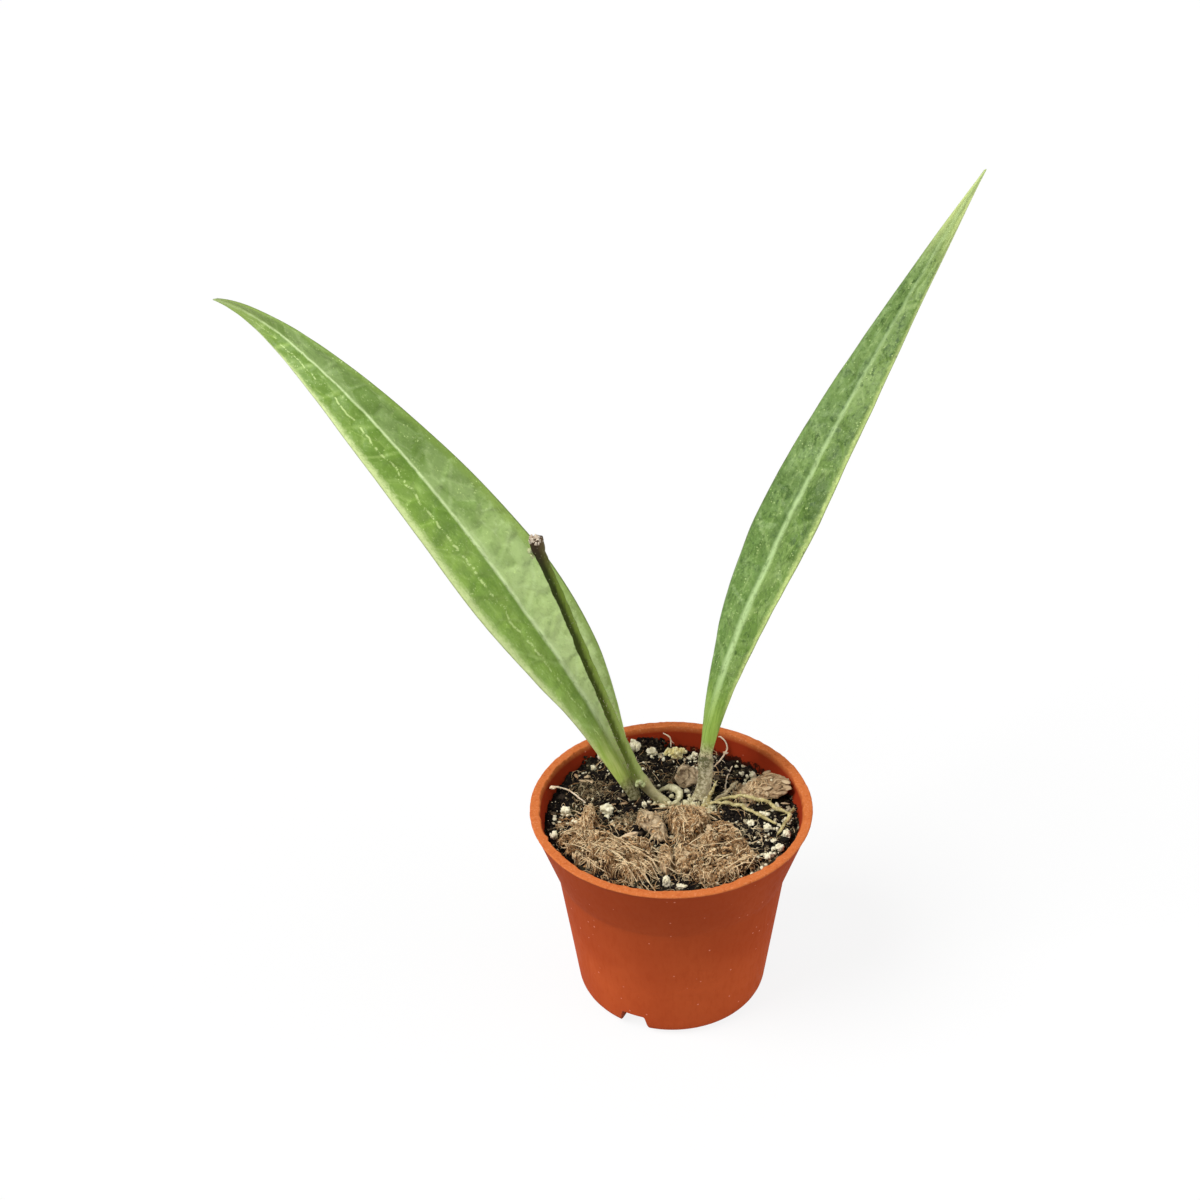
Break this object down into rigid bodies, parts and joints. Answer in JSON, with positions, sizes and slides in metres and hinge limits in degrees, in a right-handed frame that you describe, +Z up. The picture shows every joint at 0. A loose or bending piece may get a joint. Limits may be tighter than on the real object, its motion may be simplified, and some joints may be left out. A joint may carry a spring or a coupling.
{
  "type": "potted hoya",
  "caption": "Young hoya cutting with long leathery leaves and a bare vine stem, rooted in a small terracotta-coloured plastic nursery pot.",
  "frame": {"origin": "centre of the pot's flat base, on the surface that the pot stands on", "axes": "+Z up along the pot's axis, +X to the side that the smaller upright leaf leans to, +Y to the side that both leaf tips lean to"},
  "size_m": [0.162, 0.0889, 0.1662],
  "materials": {
    "pot_plastic": "satin",
    "peat": "rough",
    "leaf": "satin",
    "stem": "rough",
    "root": "rough",
    "rootlet": "rough",
    "coir": "rough",
    "bark_grey": "rough",
    "bark_brown": "rough",
    "splinter": "rough",
    "perlite": "rough",
    "perlite_yellow": "rough"
  },
  "bodies": {
    "root": {"pot": "pot_plastic", "potting_mix": "peat", "vine_stem": "stem", "leaf_left": "leaf", "leaf_right": "leaf", "aerial_root_lower": "root", "aerial_root_upper": "root", "aerial_root_side": "root", "aerial_root_stub": "root", "aerial_root_brown": "root", "curled_root": "root", "rootlet_wall": "rootlet", "rootlet_back": "rootlet", "rootlet_pale": "rootlet", "rootlet_left": "rootlet", "coir_tuft_left": "coir", "coir_tuft_right": "coir", "coir_tuft_centre": "coir", "coir_tuft_side": "coir", "bark_chip_round": "bark_grey", "husk_chip": "bark_grey", "bark_chip_large": "bark_brown", "bark_chip_front": "bark_brown", "wood_splinter": "splinter", "perlite_01": "perlite", "perlite_02": "perlite", "perlite_03": "perlite", "perlite_04": "perlite", "perlite_05": "perlite", "perlite_06": "perlite", "perlite_07": "perlite", "perlite_08": "perlite", "perlite_09": "perlite", "perlite_10": "perlite", "perlite_11": "perlite", "perlite_12": "perlite", "perlite_13": "perlite", "perlite_14": "perlite", "perlite_15": "perlite", "perlite_16": "perlite", "perlite_17": "perlite", "perlite_18": "perlite", "perlite_19": "perlite", "perlite_20": "perlite", "perlite_21": "perlite", "perlite_yellow": "perlite_yellow"}
  },
  "joints": []
}
